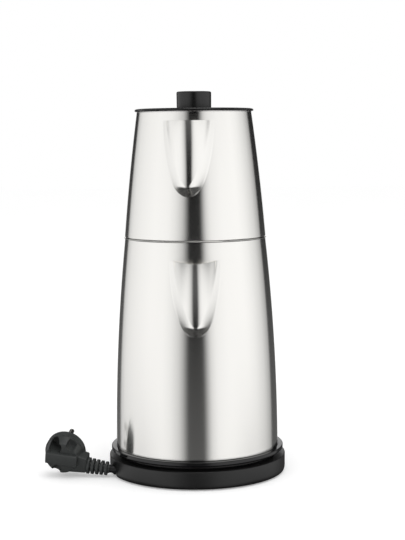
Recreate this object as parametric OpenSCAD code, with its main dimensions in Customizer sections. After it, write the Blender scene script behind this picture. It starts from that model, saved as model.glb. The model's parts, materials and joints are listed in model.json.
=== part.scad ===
// Electric tea maker: a teapot stands on a kettle, and the kettle stands on a round power base.
// Z is the axis of both pots and z = 0 is the plane that the base stands on. The spouts point
// to -Y and the handles to +Y, the teapot's a few degrees round from that (pot_turn), and the
// mains lead leaves the base on the -X side. Millimetres.

/* [Power base] */
// Outer radius of the base cover
base_r = 84.4; // [82:0.2:95]
// Height of the cover's outer rim above the table
base_rim_h = 17.5; // [17:0.5:24]
// Radius of the raised deck that the kettle stands on
deck_r = 74; // [66:0.5:76]
// How far the deck stands above the rim
deck_rise = 3.8; // [3:0.2:8]
// Wall of the plastic cover and of the cord winder
base_wall = 2.2; // [1.8:0.1:2.6]
// Rounding of the cover's lower edge
base_edge_r = 4.5; // [1:0.5:6]
// Gap between the cover's lower edge and the table
base_lift = 1; // [0.5:0.1:2]
// Height of the rubber foot ring
foot_h = 2.4; // [1.8:0.1:2.6]
// Radius of the round power connector
connector_r = 12.5; // [10:0.5:14]
// Height of the connector above the deck
connector_h = 11; // [8:0.5:12]

/* [Mains lead] */
// Diameter of the mains lead
cord_d = 7; // [6:0.5:7.5]
// Radius of the drum that the lead is wound on
drum_r = 33.2; // [30:0.2:34]
// Outer radius of the wound lead
coil_r = 57.1; // [54:0.1:57.5]
// Height of the wound lead's underside above the table
coil_z = 3.5; // [3.2:0.1:4]

/* [Kettle] */
// How far the steel's foot stands back from the skirt's edge
foot_inset = 5; // [4:0.1:7]
// Radius of the steel at its mouth
kettle_mouth_r = 66.5; // [60:0.5:70]
// How far the wall swells past a straight taper
kettle_swell = 2.7; // [0:0.1:4]
// Height of the steel, rim included
kettle_h = 199.5; // [180:0.5:230]
// Thickness of the steel sheet
steel_t = 0.8; // [0.6:0.1:1.2]
// How far the rim stands out from the wall
rim_reach = 1.8; // [1.2:0.1:2.6]
// Thickness of the rim
rim_t = 1.4; // [1:0.1:2]
// Radius of the plastic skirt
skirt_r = 82.5; // [80:0.5:84]
// Height of the skirt
skirt_h = 4.8; // [4.4:0.2:10]
// Rounding of the skirt's upper edge
skirt_edge_r = 0.8; // [0.4:0.1:2]
// Height of the kettle's floor above the foot of the steel
floor_rise = 13.8; // [12:0.2:20]
// Radius of the heat spreader under the floor
spreader_r = 62; // [56:0.5:66]
// Thickness of the heat spreader
spreader_t = 3; // [2:0.5:4]
// Radius of the heating element's ring
element_r = 50; // [42:1:52]
// Radius of the heating element's tube
element_tube_r = 3.4; // [2.5:0.1:3.6]

/* [Teapot] */
// Radius of the steel at its foot
pot_foot_r = 66.9; // [60:0.1:68]
// Radius of the steel at its mouth
pot_mouth_r = 54; // [50:0.5:58]
// How far the wall swells past a straight taper
pot_swell = 0.8; // [0:0.1:3]
// Height from the kettle's rim to the underside of the lid
pot_h = 117.3; // [105:0.5:140]
// How deep the teapot's floor hangs in the kettle's mouth
pot_drop = 6.5; // [4:0.5:8]
// How far the teapot is turned on the kettle, in degrees
pot_turn = -5.5; // [-30:0.5:30]

/* [Spouts] */
// Half width of the lip
lip_w = 20; // [17:0.5:22.5]
// Width of the blend beside the lip
blend_w = 3.5; // [2:0.1:7]
// Size of the fillet round the spout's outline, as a share of the blend
fillet_share = 0.06; // [0.02:0.01:0.2]
// Height of the whole spout below its lip
spout_h = 69.5; // [64:0.5:80]
// Height of the V between lip and tip
tip_h = 60; // [50:0.5:62]
// How much the nose's radius, seen from above, exceeds the lip's half width
nose_over = 0.4; // [0.2:0.1:3]
// How far the edge of the V stands off the wall at the lip
rise_top = 2.6; // [2:0.1:5]
// How far the tip of the V stands off the wall
rise_tip = 8; // [5:0.1:9]
// Thickness of the spout's sheet
spout_t = 1.1; // [0.8:0.1:1.4]
// How far the middle of the kettle's lip dips
lip_dip = 2; // [0:0.2:3]
// Depth of the kettle's lip below its rim
kettle_lip_drop = 17.5; // [12:0.5:24]
// Depth of the teapot's lip below the lid
pot_lip_drop = 8.8; // [6:0.2:14]

/* [Strainer and lid] */
// Radius of the strainer's cup
cup_r = 40; // [32:0.5:44]
// Depth of the strainer below the teapot's mouth
cup_depth = 75; // [60:1:85]
// Number of slots round the cup
cup_slots = 24; // [12:2:32]
// Thickness of the strainer's sheet
cup_t = 0.6; // [0.4:0.1:0.8]
// Radius of the lid
lid_r = 56.2; // [55:0.1:60]
// Thickness of the lid at its edge
lid_t = 3; // [2:0.2:5]
// Depth of the collar under the lid
collar_h = 7; // [4:0.5:9]
// Radius of the knob
knob_r = 16.4; // [12:0.1:20]
// Height of the knob
knob_h = 15.8; // [12:0.2:22]

/* [Handles and switch] */
// Width of the handles
grip_w = 25; // [22:0.5:30]
// Thickness of the handles
grip_t = 13; // [12:0.5:15]
// How far the kettle's handle reaches from the wall
kettle_reach = 46; // [40:1:52]
// How far the teapot's handle reaches from the wall
pot_reach = 42; // [36:1:48]
// Height of the kettle handle's lower end above the foot of the steel
kettle_grip_low = 68; // [62:1:74]
// Distance between the two ends of the kettle's handle
kettle_grip_span = 100; // [90:1:106]
// Height of the teapot handle's lower end above the teapot's foot
pot_grip_low = 32; // [26:1:36]
// Distance between the two ends of the teapot's handle
pot_grip_span = 62; // [58:1:66]
// Width of the switch housing
switch_w = 32; // [30:1:36]
// Height of the switch housing
switch_h = 46; // [44:1:50]
// Radius of the switch lever's pin
pin_r = 1.5; // [1.2:0.1:1.8]

/* [Plug] */
// Radius of the plug's face
plug_r = 19; // [18:0.1:19.5]
// Diameter of a contact pin
contact_d = 4.8; // [4:0.1:5]
// Length of a contact pin
contact_l = 19; // [18:0.5:20]
// Distance between the two contact pins
contact_pitch = 19; // [18.5:0.1:19.5]

/* [Hidden] */

$fn = 96;

// Clearances
seat_gap = 0.3;   // between parts that lift off each other
weld_gap = 0.1;   // between sheets of one pot that are welded or glued
slip = 0.2;       // round a tongue in its slot
screw_gap = 0.15; // round a screw's shank in its hole
pin_gap = 0.05;   // round the lever's pin

kettle_foot_r = skirt_r - foot_inset;

// Levels of the base and the kettle
deck_z = base_rim_h + deck_rise;
kettle_z = deck_z + seat_gap;
steel_z = kettle_z + skirt_h;
rim_z = steel_z + kettle_h;
floor_z = steel_z + floor_rise;
kettle_lip_z = rim_z - kettle_lip_drop;

// Levels of the teapot and its lid
pot_z = rim_z + seat_gap;
lid_z = pot_z + pot_h;
flange_t = cup_t;
pot_top_z = lid_z - flange_t - seat_gap;
pot_lip_z = lid_z - pot_lip_drop;
pot_mouth_in = pot_mouth_r - steel_t;

// Both walls taper and swell by the same rule: u runs from 0 at the foot to 1 at the mouth
function wall_r(u, foot, mouth, swell) = foot + (mouth - foot) * u + 4 * swell * u * (1 - u);
function kettle_r(z) = wall_r((z - steel_z) / kettle_h, kettle_foot_r, kettle_mouth_r, kettle_swell);
function pot_r(z) = wall_r((z - pot_z) / pot_h, pot_foot_r, pot_mouth_r, pot_swell);

wall_steps = 16;
function levels(z0, z1) = [for (i = [0 : wall_steps]) z0 + (z1 - z0) * i / wall_steps];
function reversed(list) = [for (i = [len(list) - 1 : -1 : 0]) list[i]];

// The sheet of a pot between two levels; r_at is the outer radius as a function of height
module sheet_wall(r_at, z0, z1, t) {
    rotate_extrude()
        polygon(concat(
            [for (z = levels(z0, z1)) [r_at(z), z]],
            [for (z = reversed(levels(z0, z1))) [r_at(z) - t, z]]));
}

// All that lies inside a pot's wall, grown by a gap: it trims what seats on the wall
module wall_envelope(r_at, z0, z1, gap) {
    rotate_extrude()
        polygon(concat([[0, z0]], [for (z = levels(z0, z1)) [r_at(z) + gap, z]], [[0, z1]]));
}

module ring(r_out, r_in, z0, z1) {
    translate([0, 0, z0])
        difference() {
            cylinder(r = r_out, h = z1 - z0);
            translate([0, 0, -1]) cylinder(r = r_in, h = z1 - z0 + 2);
        }
}

// A box with rounded upright edges, centred on x = 0
module rounded_box(w, y0, y1, z0, z1, r) {
    translate([0, 0, z0])
        linear_extrude(z1 - z0)
            union() {
                translate([-w / 2 + r, y0]) square([w - 2 * r, y1 - y0]);
                translate([-w / 2, y0 + r]) square([w, y1 - y0 - 2 * r]);
                for (x = [-w / 2 + r, w / 2 - r], y = [y0 + r, y1 - r])
                    translate([x, y]) circle(r = r);
            }
}

// A round bar along X, centred on x = 0
module cross_bar(r, length, y, z) {
    translate([-length / 2, y, z]) rotate([0, 90, 0]) cylinder(r = r, h = length);
}

// A pan-head screw that points up from its head's underside at z
module screw_up(r, length, head_r, head_t, z) {
    translate([0, 0, z - head_t]) cylinder(r = head_r, h = head_t);
    translate([0, 0, z - head_t / 2]) cylinder(r = r, h = length + head_t / 2);
}

// ---- a tube or bar swept along a list of points ----
function unit(v) = v / norm(v);
function tangent(path, i) =
    unit(path[min(i + 1, len(path) - 1)] - path[max(i - 1, 0)]);
function swept_ring(p, t, section, ref) =
    let (side = unit(cross(t, ref)), up = cross(side, t))
        [for (q = section) p + q[0] * side + q[1] * up];

module sweep(path, section, ref, ends = []) {
    n = len(section);
    m = len(path);
    points = [for (i = [0 : m - 1])
        each swept_ring(path[i], len(ends) == 2 && i == 0 ? ends[0]
            : len(ends) == 2 && i == m - 1 ? ends[1] : tangent(path, i), section, ref)];
    sides = [for (i = [0 : m - 2], k = [0 : n - 1])
        let (a = i * n + k, b = i * n + (k + 1) % n)
            each [[a, b, b + n], [a, b + n, a + n]]];
    polyhedron(points, concat(sides, [[for (k = [n - 1 : -1 : 0]) k]],
        [[for (k = [0 : n - 1]) (m - 1) * n + k]]));
}

// ---- power base ----
drum_wall = base_wall;
winder_top = coil_z + cord_d + 2.5;       // top of the winder's ceiling
winder_ceiling = winder_top - 2;
plate_top = foot_h + 0.8;                 // top of the winder's flange
winder_floor = plate_top - 2;             // underside of the winder's flange
winder_wall_r = coil_r + 2.9;             // inner radius of the winder's outer wall
winder_edge_r = base_r - base_edge_r - seat_gap;
foot_w = 5;
foot_r = winder_edge_r - foot_w - 2.6;
deck_under = base_rim_h - base_wall;      // underside of the cover outside the deck
screw_circle = foot_r + foot_w / 2;       // the screws sit in the foot's groove
screw_angles = [60, 180, 300];
screw_l = 8;
hook_angles = [30, 120, 210, 300];

// The lead's free stretch: tangent to the coil's outer turn, one bend, then out through the skirt
lead_z = 7;
lead_y = -29;
lead_path = [[-36.7, -37.5, 7], [-40.6, -34.3, 7], [-44.9, -31.8, 7], [-49.6, -30.1, 7],
    [-54.5, -29.1, 7], [-59.5, -29, 7], [-64.5, -29, 7], [-69.5, -29, 7], [-74.5, -28.9, 7.1],
    [-79, -28.6, 7.2], [-83, -28.1, 7.6]];

// The way that the lead takes out of the winder, as a slot that is open below
slot_half = cord_d / 2 + 1;
module lead_slot(top) {
    translate([-base_r - 5, lead_y - slot_half - 1.5, -1])
        cube([base_r + 5 - 48, 2 * slot_half + 1.5, top + 1]);
}

module base_cover() {
    e = base_edge_r;
    color([0.07, 0.07, 0.08])
        difference() {
            union() {
                // outer shell: rim, deck and the step between them
                rotate_extrude()
                    polygon(concat(
                        [for (a = [-90 : 15 : 0])
                            [base_r - e + e * cos(a), base_lift + e + e * sin(a)]],
                        [for (a = [0 : 30 : 90])
                            [base_r - 0.8 + 0.8 * cos(a), base_rim_h - 0.8 + 0.8 * sin(a)]],
                        [[deck_r + 1, base_rim_h], [deck_r, base_rim_h + 1],
                            [deck_r, deck_z - 0.6], [deck_r - 0.6, deck_z],
                            [connector_r + 0.4, deck_z],
                            [connector_r + 0.4, deck_z - base_wall],
                            [deck_r - base_wall, deck_z - base_wall],
                            [deck_r - base_wall, deck_under],
                            [base_r - base_wall, deck_under],
                            [base_r - base_wall, base_lift + e],
                            [base_r - e, base_lift + base_wall * 0.6]]));
                // screw posts, cut off inside the rim and the deck
                intersection() {
                    for (a = screw_angles)
                        rotate([0, 0, a])
                            translate([screw_circle, 0, plate_top + 0.1])
                                cylinder(r = 3.6, h = deck_z - plate_top);
                    rotate_extrude()
                        polygon([[0, 0], [base_r - 1, 0], [base_r - 1, base_rim_h - 1],
                            [deck_r - 1, base_rim_h - 1], [deck_r - 1, deck_z - 1],
                            [0, deck_z - 1]]);
                }
            }
            for (a = screw_angles)
                rotate([0, 0, a])
                    translate([screw_circle, 0, plate_top - 1]) cylinder(r = 1.4, h = screw_l + 1.5);
            lead_slot(lead_z + slot_half);
        }
}

module cord_winder() {
    color([0.09, 0.09, 0.1])
        difference() {
            union() {
                // drum's floor and wall, ceiling over the lead, outer wall, then the flange under
                // the cover with its groove for the rubber foot
                rotate_extrude()
                    polygon([[0, winder_floor], [drum_r, winder_floor], [drum_r, winder_ceiling],
                        [winder_wall_r, winder_ceiling], [winder_wall_r, winder_floor],
                        [foot_r - 0.1, winder_floor], [foot_r - 0.1, foot_h],
                        [foot_r + foot_w + 0.1, foot_h], [foot_r + foot_w + 0.1, winder_floor],
                        [winder_edge_r, winder_floor], [winder_edge_r, plate_top],
                        [winder_wall_r + 2, plate_top], [winder_wall_r + 2, winder_top],
                        [drum_r - drum_wall, winder_top], [drum_r - drum_wall, winder_floor + 2],
                        [0, winder_floor + 2]]);
                // hooks that keep the turns up
                for (a = hook_angles)
                    rotate([0, 0, a])
                        translate([drum_r - 1, -6, winder_floor + 0.3])
                            cube([8, 12, 1.6]);
            }
            for (a = screw_angles)
                rotate([0, 0, a])
                    translate([screw_circle, 0, 0]) cylinder(r = 1.6 + screw_gap, h = plate_top + 1);
            lead_slot(lead_z + cord_d / 2 + seat_gap);
            // window in the drum for the gland
            rotate([0, 0, gland_angle - 8.5])
                rotate_extrude(angle = 17)
                    translate([drum_r - drum_wall - 1, coil_z - 0.2])
                        square([drum_wall + 2, cord_d + 0.4]);
        }
}

module base_connector() {
    color([0.1, 0.1, 0.11])
        difference() {
            union() {
                ring(connector_r + 5, 0, winder_top, winder_top + 3);
                ring(connector_r, 0, winder_top, deck_z + connector_h);
            }
            // round slots that hold the contact rings, and the hole for the earth pin
            translate([0, 0, deck_z - 3]) ring(connector_r - 2.4, connector_r - 5, 0, connector_h + 4);
            translate([0, 0, deck_z - 3]) cylinder(r = 3.2, h = connector_h + 4);
        }
}

module contact_rings() {
    color([0.8, 0.62, 0.3]) {
        ring(connector_r - 3.2, connector_r - 4.2, deck_z - 3, deck_z + connector_h - 2);
        ring(2.6, 1.8, deck_z - 3, deck_z + connector_h - 3);
    }
}

// A ring that is open where the lead comes out, with hollows over the heads of the screws
foot_start = 212;
foot_turn = 322;
hollow_t = 1.1; // depth of a hollow, a little more than a screw's head
module rubber_foot() {
    color([0.12, 0.12, 0.12])
        difference() {
            rotate([0, 0, foot_start])
                rotate_extrude(angle = foot_turn)
                    translate([foot_r, 0]) square([foot_w, foot_h]);
            for (a = screw_angles)
                rotate([0, 0, a])
                    translate([foot_r - 1, -3, foot_h - hollow_t])
                        cube([foot_w + 2, 6, hollow_t + 1]);
        }
}

module base_screws() {
    color([0.6, 0.6, 0.62])
        for (a = screw_angles)
            rotate([0, 0, a])
                translate([screw_circle, 0, 0])
                    screw_up(1.4, screw_l, 2.4, 0.9, foot_h);
}

// The gland hugs the drum, so the lead leaves it along the first turn
gland_angle = 324;
gland_turn = 34;
cord_mid_r = drum_r + seat_gap + cord_d / 2;
module cord_gland() {
    color([0.08, 0.08, 0.08])
        union() {
            rotate([0, 0, gland_angle - gland_turn])
                rotate_extrude(angle = gland_turn)
                    translate([cord_mid_r, coil_z + cord_d / 2]) circle(r = cord_d / 2 - 0.05, $fn = 48);
            rotate([0, 0, gland_angle - 8])
                rotate_extrude(angle = 16)
                    translate([drum_r - drum_wall - 2, coil_z]) square([drum_wall + 5, cord_d]);
        }
}

module cord_coil() {
    color([0.06, 0.06, 0.06])
        difference() {
            ring(coil_r, drum_r + seat_gap, coil_z, coil_z + cord_d);
            // the gland's place; the lead meets the gland's end face here
            rotate([0, 0, gland_angle - gland_turn])
                rotate_extrude(angle = gland_turn + 9)
                    translate([drum_r - 2, coil_z - 1]) square([cord_d + 3, cord_d + 2]);
        }
}

lead_sides = 12;
module cord_lead() {
    r = cord_d / 2;
    color([0.06, 0.06, 0.06])
        sweep(lead_path, [for (k = [0 : lead_sides - 1])
            r * [cos(360 * k / lead_sides), sin(360 * k / lead_sides)]], [0, 0, 1],
            [unit(lead_path[1] - lead_path[0]), -relief_axis]);
}

// ---- plug: its own frame has the lead's end at the origin and the contacts along +Y ----
plug_pitch = 16;
plug_tilt = 8;
plug_yaw = -8;
relief_l = 21.6;
head_x = -45.5;
head_z = 7.5;
face_y = 11;
front_y = -11;
lead_end = lead_path[len(lead_path) - 1];
// Way from the lead into the plug, reversed: the plug's own X axis after its three turns
relief_axis = [cos(plug_tilt) * cos(plug_yaw), cos(plug_tilt) * sin(plug_yaw), -sin(plug_tilt)];

module plug_frame() {
    translate(lead_end) rotate([plug_pitch, plug_tilt, plug_yaw]) children();
}

// A disc or cone round the plug's own contact direction
module plug_disc(x, z, y0, y1, r0, r1) {
    translate([x, y0, z]) rotate([-90, 0, 0]) cylinder(r1 = r0, r2 = r1, h = y1 - y0);
}

module plug_body() {
    color([0.1, 0.1, 0.1])
        plug_frame()
            difference() {
                union() {
                    plug_disc(head_x, head_z, 3, face_y - 1, plug_r, plug_r);
                    plug_disc(head_x, head_z, face_y - 1, face_y, plug_r, plug_r - 1);
                    plug_disc(head_x, head_z, front_y + 3, 3, plug_r - 3.5, plug_r - 1);
                    // web across the front, and the arm that takes the lead
                    translate([head_x - plug_r + 4, front_y - 1, head_z - 5.5])
                        cube([1.6 * plug_r, 8, 11]);
                    hull() {
                        translate([head_x + 6, -7.5, head_z - 14]) cube([1, 15, 20]);
                        translate([-relief_l - 1, -7, -7.5]) cube([1, 14, 15]);
                    }
                }
                // finger hollow above the web, groove below it
                plug_disc(head_x - 7, head_z + 11.5, front_y - 1, -1, 6, 5);
                plug_disc(head_x - 4, head_z - 12.5, front_y - 1, -1, 5, 4);
                // seats of the earth clips
                for (s = [-1, 1])
                    translate([head_x + s * (plug_r - 1) - 1.6, face_y - 7, head_z - 2.6])
                        cube([3.2, 9, 5.2]);
            }
}

module plug_relief() {
    ribs = 5;
    step = relief_l / ribs;
    color([0.08, 0.08, 0.08])
        plug_frame()
            union() {
                translate([-relief_l, 0, 0]) rotate([0, 90, 0]) cylinder(r = 5, h = relief_l);
                for (i = [0 : ribs - 1])
                    translate([-step * (i + 1) + 0.01, 0, 0])
                        rotate([0, 90, 0])
                            cylinder(r = 6.6 + 0.3 * i, h = step * 0.68);
            }
}

module plug_contacts() {
    color([0.78, 0.78, 0.76])
        plug_frame()
            for (s = [-1, 1])
                plug_disc(head_x, head_z + s * contact_pitch / 2, face_y, face_y + contact_l,
                    contact_d / 2, contact_d / 2);
}

module plug_earth_clips() {
    color([0.78, 0.78, 0.76])
        plug_frame()
            for (s = [-1, 1])
                translate([head_x + s * (plug_r - 1) - 1.1, face_y - 7, head_z - 2])
                    cube([2, 7.5, 4]);
}

// ---- kettle ----
module spout_window(lip_z) {
    rotate([90, 0, 0])
        linear_extrude(base_r)
            polygon([[-lip_w + 5, lip_z - 6], [lip_w - 5, lip_z - 6],
                [2, lip_z - tip_h + 6], [-2, lip_z - tip_h + 6]]);
}

module kettle_shell() {
    color([0.75, 0.75, 0.76])
        difference() {
            union() {
                sheet_wall(function (z) kettle_r(z), steel_z, rim_z - rim_t / 2, steel_t);
                ring(kettle_mouth_r + rim_reach - rim_t / 2, kettle_mouth_r - steel_t,
                    rim_z - rim_t, rim_z);
                rotate_extrude()
                    translate([kettle_mouth_r + rim_reach - rim_t / 2, rim_z - rim_t / 2])
                        circle(r = rim_t / 2, $fn = 24);
            }
            spout_window(kettle_lip_z);
        }
}

// How far the spout stands off the wall at x across and v below the lip, for a wall of radius r.
// The nose is a round bar of radius nose_r that leans out of the wall, so its edge is a curved V.
// Outside the V, an even slope ends on the spout's outline, a full half oval, in a small fillet.
spout_w = lip_w + blend_w;
nose_r = lip_w + nose_over;
function chord(r, x) = sqrt(r * r - x * x);
nose_depth = nose_r - chord(nose_r, lip_w);
function v_half(v) =
    let (p = nose_depth * pow(max(0, 1 - v / tip_h), 1.4)) sqrt(2 * nose_r * p - p * p);
oval = 2.2;
function inside_share(x, v) = 1 - sqrt(pow(abs(x) / spout_w, oval) + pow(v / spout_h, 2));
function spout_blend(x, v) =
    let (s = inside_share(x, v) / inside_share(v_half(v), min(v, tip_h)), t = min(1, max(0, s)))
        t * t * (1 + fillet_share) / (t + fillet_share);
function edge_rise(v) = rise_top + (rise_tip - rise_top) * pow(min(1, v / tip_h), 1.3);
function spout_rise(r, x, v) =
    let (w = v_half(v))
        abs(x) < w
        ? chord(r, w) - chord(r, x) + edge_rise(v) + chord(nose_r, x) - chord(nose_r, w)
        : edge_rise(v) * spout_blend(x, v);

// Columns run from -2 to 2: the V's edges are at -1 and 1, the ends of the blend at -2 and 2
nose_steps = 6;
blend_steps = 4;
spout_rows = 14;
spout_columns = concat(
    [for (i = [blend_steps : -1 : 1]) -1 - i / blend_steps],
    [for (i = [-nose_steps : nose_steps]) i / nose_steps],
    [for (i = [1 : blend_steps]) 1 + i / blend_steps]);
lap_t = 0.3;
function column_x(b, v) =
    let (outer = spout_w * pow(max(0, 1 - pow(v / spout_h, 2)), 1 / oval),
        inner = max(v_half(v), 0.3 * outer))
        abs(b) <= 1 ? inner * b : sign(b) * (inner + (outer - inner) * (abs(b) - 1));
function spout_point(r_at, lip_z, dip, b, row, inside) =
    let (v = spout_h * sin(90 * row / spout_rows), x = column_x(b, v),
        z = lip_z - v - dip * max(0, 1 - abs(x) / lip_w) * (1 - v / spout_h),
        r = r_at(z), rise = spout_rise(r, x, v),
        off = inside ? max(weld_gap, rise - spout_t) : max(weld_gap + lap_t, rise))
        [x, -chord(r, x) - off, z];

module spout(r_at, lip_z, dip) {
    n = len(spout_columns);
    rows = spout_rows - 1;
    skin = (rows + 1) * n + 1; // points of one skin, its lowest point last
    points = [for (inside = [false, true])
        each concat(
            [for (row = [0 : rows], b = spout_columns)
                spout_point(r_at, lip_z, dip, b, row, inside)],
            [spout_point(r_at, lip_z, dip, 0, spout_rows, inside)])];
    quads = [for (row = [0 : rows - 1], i = [0 : n - 2])
        let (a = row * n + i)
            each [[a, a + 1, a + n + 1], [a, a + n + 1, a + n]]];
    fan = [for (i = [0 : n - 2]) [rows * n + i, rows * n + i + 1, skin - 1]];
    front = concat(quads, fan);
    back = [for (f = front) [f[0] + skin, f[2] + skin, f[1] + skin]];
    lip = [for (i = [0 : n - 2]) each [[i + 1, i, i + skin], [i + 1, i + skin, i + 1 + skin]]];
    left = [for (row = [0 : rows])
        let (a = row * n, b = row == rows ? skin - 1 : (row + 1) * n)
            each [[a, b, b + skin], [a, b + skin, a + skin]]];
    right = [for (row = [0 : rows])
        let (a = row * n + n - 1, b = row == rows ? skin - 1 : (row + 1) * n + n - 1)
            each [[b, a, b + skin], [a, a + skin, b + skin]]];
    polyhedron(points, concat(front, back, lip, left, right));
}

module kettle_spout() {
    color([0.78, 0.78, 0.79]) spout(function (z) kettle_r(z), kettle_lip_z, lip_dip);
}

hem = 5; // height of the floor's turned-up edge against the wall
function floor_r(z) = kettle_r(z) - steel_t - weld_gap;
module kettle_floor() {
    color([0.7, 0.7, 0.71])
        rotate_extrude()
            polygon([[0, floor_z], [floor_r(floor_z), floor_z],
                [floor_r(floor_z + hem), floor_z + hem],
                [floor_r(floor_z + hem) - steel_t, floor_z + hem],
                [floor_r(floor_z) - 1.4 * steel_t, floor_z + steel_t],
                [0, floor_z + steel_t]]);
}

module heat_spreader() {
    color([0.8, 0.8, 0.82]) ring(spreader_r, 0, floor_z - spreader_t, floor_z);
}

element_z = floor_z - spreader_t - element_tube_r;
module heating_element() {
    color([0.55, 0.55, 0.56])
        union() {
            rotate([0, 0, 100])
                rotate_extrude(angle = 340)
                    translate([element_r, element_z]) circle(r = element_tube_r, $fn = 32);
            // cold ends that turn in towards the socket
            for (a = [80, 100])
                rotate([0, 0, a])
                    translate([element_r + 1, 0, element_z])
                        rotate([0, -90, 0]) cylinder(r = 2, h = 20, $fn = 32);
        }
}

thermostat_y = -34;
module thermostat() {
    color([0.85, 0.83, 0.76])
        union() {
            translate([-12, thermostat_y - 8, underside_top]) cube([24, 16, 6]);
            translate([0, thermostat_y, underside_top])
                cylinder(r = 7, h = floor_z - spreader_t - underside_top);
        }
}

underside_t = 2;
underside_top = kettle_z + underside_t;
socket_r = connector_r + 0.8;
module kettle_socket() {
    color([0.12, 0.12, 0.13])
        difference() {
            union() {
                ring(socket_r + 5, 0, underside_top, floor_z - spreader_t);
                ring(socket_r + 2, 0, kettle_z, underside_top + 1);
            }
            translate([0, 0, kettle_z - 1])
                cylinder(r = socket_r, h = connector_h + 2.2 + 1);
        }
}

skirt_lip_r = kettle_foot_r - steel_t - seat_gap; // outer radius of the ring inside the steel
module kettle_skirt() {
    e = skirt_edge_r;
    color([0.04, 0.04, 0.05])
        rotate_extrude()
            polygon(concat(
                [[skirt_r - 1, kettle_z], [skirt_r, kettle_z + 1]],
                [for (a = [0 : 15 : 90])
                    [skirt_r - e + e * cos(a), steel_z - 0.5 - e + e * sin(a)]],
                [[kettle_foot_r + 0.6, steel_z - 0.5], [kettle_foot_r + 0.6, steel_z - 0.1],
                    [skirt_lip_r, steel_z - 0.1], [skirt_lip_r - 0.4, steel_z + 4.5],
                    [skirt_lip_r - 2.4, steel_z + 4.5], [skirt_lip_r - 2.4, kettle_z]]));
}

underside_r = skirt_lip_r - 2.4 - weld_gap;
lug_circle = underside_r - 6;
lug_angles = [30, 150, 270];
module kettle_underside() {
    color([0.1, 0.1, 0.11])
        difference() {
            ring(underside_r, socket_r + 2 + weld_gap, kettle_z, underside_top);
            for (a = lug_angles)
                rotate([0, 0, a])
                    translate([lug_circle, 0, kettle_z - 1]) cylinder(r = 1.6 + screw_gap, h = 4);
            for (a = lug_angles)
                rotate([0, 0, a])
                    translate([lug_circle, 0, kettle_z - 1]) cylinder(r = 3.2, h = 2);
        }
}

module underside_screws() {
    color([0.6, 0.6, 0.62])
        for (a = lug_angles)
            rotate([0, 0, a])
                translate([lug_circle, 0, 0])
                    screw_up(1.6, floor_z - spreader_t - kettle_z - 2, 2.9, 0.9, kettle_z + 1);
}

// ---- handles: a D-shaped bar swept in the plane x = 0, trimmed to the wall ----
grip_power = 0.74;
grip_steps = 22;
grip_sides = 20;
function grip_path(y_top, z_top, y_low, z_low, reach) =
    concat([[0, y_top - 6, z_top]],
        [for (i = [0 : grip_steps])
            let (a = 180 * i / grip_steps, s = pow(sin(a), grip_power),
                c = sign(cos(a)) * pow(abs(cos(a)), grip_power))
                [0, (y_top + y_low) / 2 + (y_top - y_low) / 2 * c + reach * s,
                    (z_top + z_low) / 2 + (z_top - z_low) / 2 * c]],
        [[0, y_low - 6, z_low]]);
grip_section = [for (k = [0 : grip_sides - 1])
    let (a = 360 * k / grip_sides, c = cos(a), s = sin(a))
        [grip_t / 2 * sign(c) * pow(abs(c), 0.75), grip_w / 2 * sign(s) * pow(abs(s), 0.75)]];

bar_w = 10;     // steel tongue welded to the wall
bar_t = 3;
bar_l = 17;     // its length from the wall
bar_screw = 11; // its screw's distance from the wall
grip_screw_r = 1.7;
grip_screw_l = 6.8;
grip_screw_seat = 4.2; // depth of its head's seat below the tongue's middle

module tongue(r_at, z, gap) {
    translate([-bar_w / 2 - gap, r_at(z) - 4, z - bar_t / 2 - gap])
        cube([bar_w + 2 * gap, bar_l + 4 + gap, bar_t + 2 * gap]);
}

module handle(r_at, z_low, span, reach, z0, z1) {
    z_top = z_low + span;
    difference() {
        sweep(grip_path(r_at(z_top) + 2, z_top, r_at(z_low) + 2, z_low, reach - 2),
            grip_section, [1, 0, 0], [[0, 1, 0], [0, -1, 0]]);
        wall_envelope(r_at, z0, z1, seat_gap);
        for (z = [z_low, z_top]) {
            tongue(r_at, z, slip);
            translate([0, r_at(z) + bar_screw, z - grip_t])
                cylinder(r = grip_screw_r + screw_gap, h = grip_t + 4);
            translate([0, r_at(z) + bar_screw, z - grip_t])
                cylinder(r = 3.4, h = grip_t - grip_screw_seat);
        }
    }
}

module brackets(r_at, z_low, span, z0, z1) {
    for (z = [z_low, z_low + span])
        difference() {
            tongue(r_at, z, 0);
            wall_envelope(r_at, z0, z1, weld_gap / 2);
            translate([0, r_at(z) + bar_screw, z - bar_t])
                cylinder(r = grip_screw_r + 0.05, h = 2 * bar_t);
        }
}

module handle_screws(r_at, z_low, span) {
    for (z = [z_low, z_low + span])
        translate([0, r_at(z) + bar_screw, 0])
            screw_up(grip_screw_r, grip_screw_l, 3, 1.4, z - grip_screw_seat);
}

kettle_grip_z = steel_z + kettle_grip_low;
pot_grip_z = pot_z + pot_grip_low;

module kettle_handle() {
    color([0.07, 0.07, 0.08])
        handle(function (z) kettle_r(z), kettle_grip_z, kettle_grip_span, kettle_reach,
            steel_z, rim_z);
}

module kettle_brackets() {
    color([0.7, 0.7, 0.71])
        brackets(function (z) kettle_r(z), kettle_grip_z, kettle_grip_span, steel_z, rim_z);
}

module kettle_handle_screws() {
    color([0.6, 0.6, 0.62])
        handle_screws(function (z) kettle_r(z), kettle_grip_z, kettle_grip_span);
}

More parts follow.
